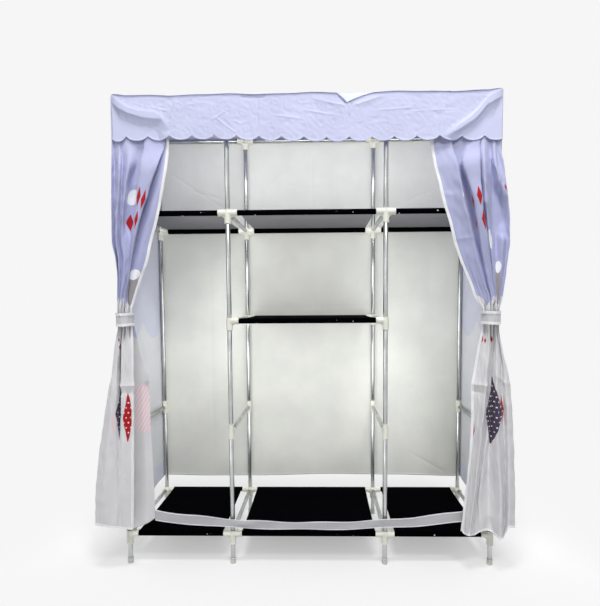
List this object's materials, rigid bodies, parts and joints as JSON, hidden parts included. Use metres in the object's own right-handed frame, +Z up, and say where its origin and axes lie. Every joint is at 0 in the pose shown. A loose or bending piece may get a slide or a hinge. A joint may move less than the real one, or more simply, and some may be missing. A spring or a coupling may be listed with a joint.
{
  "type": "portable fabric wardrobe",
  "caption": "Free-standing wardrobe of plug-together steel tubes with fabric shelves, under a lift-off fabric cover with a scalloped valance and two tied-back front curtains",
  "frame": {"origin": "on the floor under the middle of the whole part's box; the tube frame's own middle is 8.3 mm to the right of it, because the left curtain's hem flares further out", "axes": "+X to the right seen from the front, +Y to the back, +Z up; the curtains are on the -Y side"},
  "size_m": [1.4346, 0.5422, 1.6116],
  "materials": {
    "tube_steel": "satin",
    "connector_plastic": "satin",
    "shelf_fabric": "matte",
    "cover_lavender": "matte",
    "cover_print": "matte",
    "back_fabric": "matte",
    "grey_fabric": "matte",
    "binding_white": "matte"
  },
  "bodies": {
    "frame": {"post_front_1": "tube_steel", "post_front_2": "tube_steel", "post_front_3": "tube_steel", "post_front_4": "tube_steel", "post_rear_1": "tube_steel", "post_rear_2": "tube_steel", "post_rear_3": "tube_steel", "post_rear_4": "tube_steel", "crossbar_base_1": "connector_plastic", "crossbar_base_2": "connector_plastic", "crossbar_base_3": "connector_plastic", "crossbar_base_4": "connector_plastic", "crossbar_brace_1": "connector_plastic", "crossbar_brace_2": "connector_plastic", "crossbar_brace_3": "connector_plastic", "crossbar_brace_4": "connector_plastic", "crossbar_mid_2": "connector_plastic", "crossbar_mid_3": "connector_plastic", "crossbar_top_1": "connector_plastic", "crossbar_top_2": "connector_plastic", "crossbar_top_3": "connector_plastic", "crossbar_top_4": "connector_plastic", "crossbar_roof_1": "connector_plastic", "crossbar_roof_2": "connector_plastic", "crossbar_roof_3": "connector_plastic", "crossbar_roof_4": "connector_plastic", "rail_base_front_left": "tube_steel", "rail_base_front_centre": "tube_steel", "rail_base_front_right": "tube_steel", "rail_top_front_left": "tube_steel", "rail_top_front_centre": "tube_steel", "rail_top_front_right": "tube_steel", "rail_mid_front": "tube_steel", "rail_roof_front": "tube_steel", "rail_base_rear_left": "tube_steel", "rail_base_rear_centre": "tube_steel", "rail_base_rear_right": "tube_steel", "rail_top_rear_left": "tube_steel", "rail_top_rear_centre": "tube_steel", "rail_top_rear_right": "tube_steel", "rail_mid_rear": "tube_steel", "rail_roof_rear": "tube_steel", "shelf_base_left": "shelf_fabric", "shelf_base_centre": "shelf_fabric", "shelf_base_right": "shelf_fabric", "shelf_mid": "shelf_fabric", "shelf_top_left": "shelf_fabric", "shelf_top_centre": "shelf_fabric", "shelf_top_right": "shelf_fabric"},
    "cover": {"cover_roof": "cover_lavender", "back_panel": "back_fabric", "side_panel_left": "cover_print", "side_panel_right": "cover_print", "front_strip": "grey_fabric"},
    "valance": {"valance": "cover_lavender"},
    "curtain_left": {"curtain_left": "cover_print", "tie_left": "binding_white"},
    "curtain_right": {"curtain_right": "cover_print", "tie_right": "binding_white"}
  },
  "joints": [
    {"name": "cover_lift", "type": "slide", "parent": "frame", "child": "cover", "axis": [0, 0, 1], "range_m": [0, 1.5]},
    {"name": "valance_lift", "type": "hinge", "parent": "cover", "child": "valance", "pos_m": [0.0083, -0.21245, 1.6119], "axis": [-1, 0, 0], "range_deg": [0, 270]},
    {"name": "curtain_left_draw", "type": "slide", "parent": "cover", "child": "curtain_left", "axis": [1, 0, 0], "range_m": [0, 0.452]},
    {"name": "curtain_right_draw", "type": "slide", "parent": "cover", "child": "curtain_right", "axis": [-1, 0, 0], "range_m": [0, 0.414]}
  ]
}
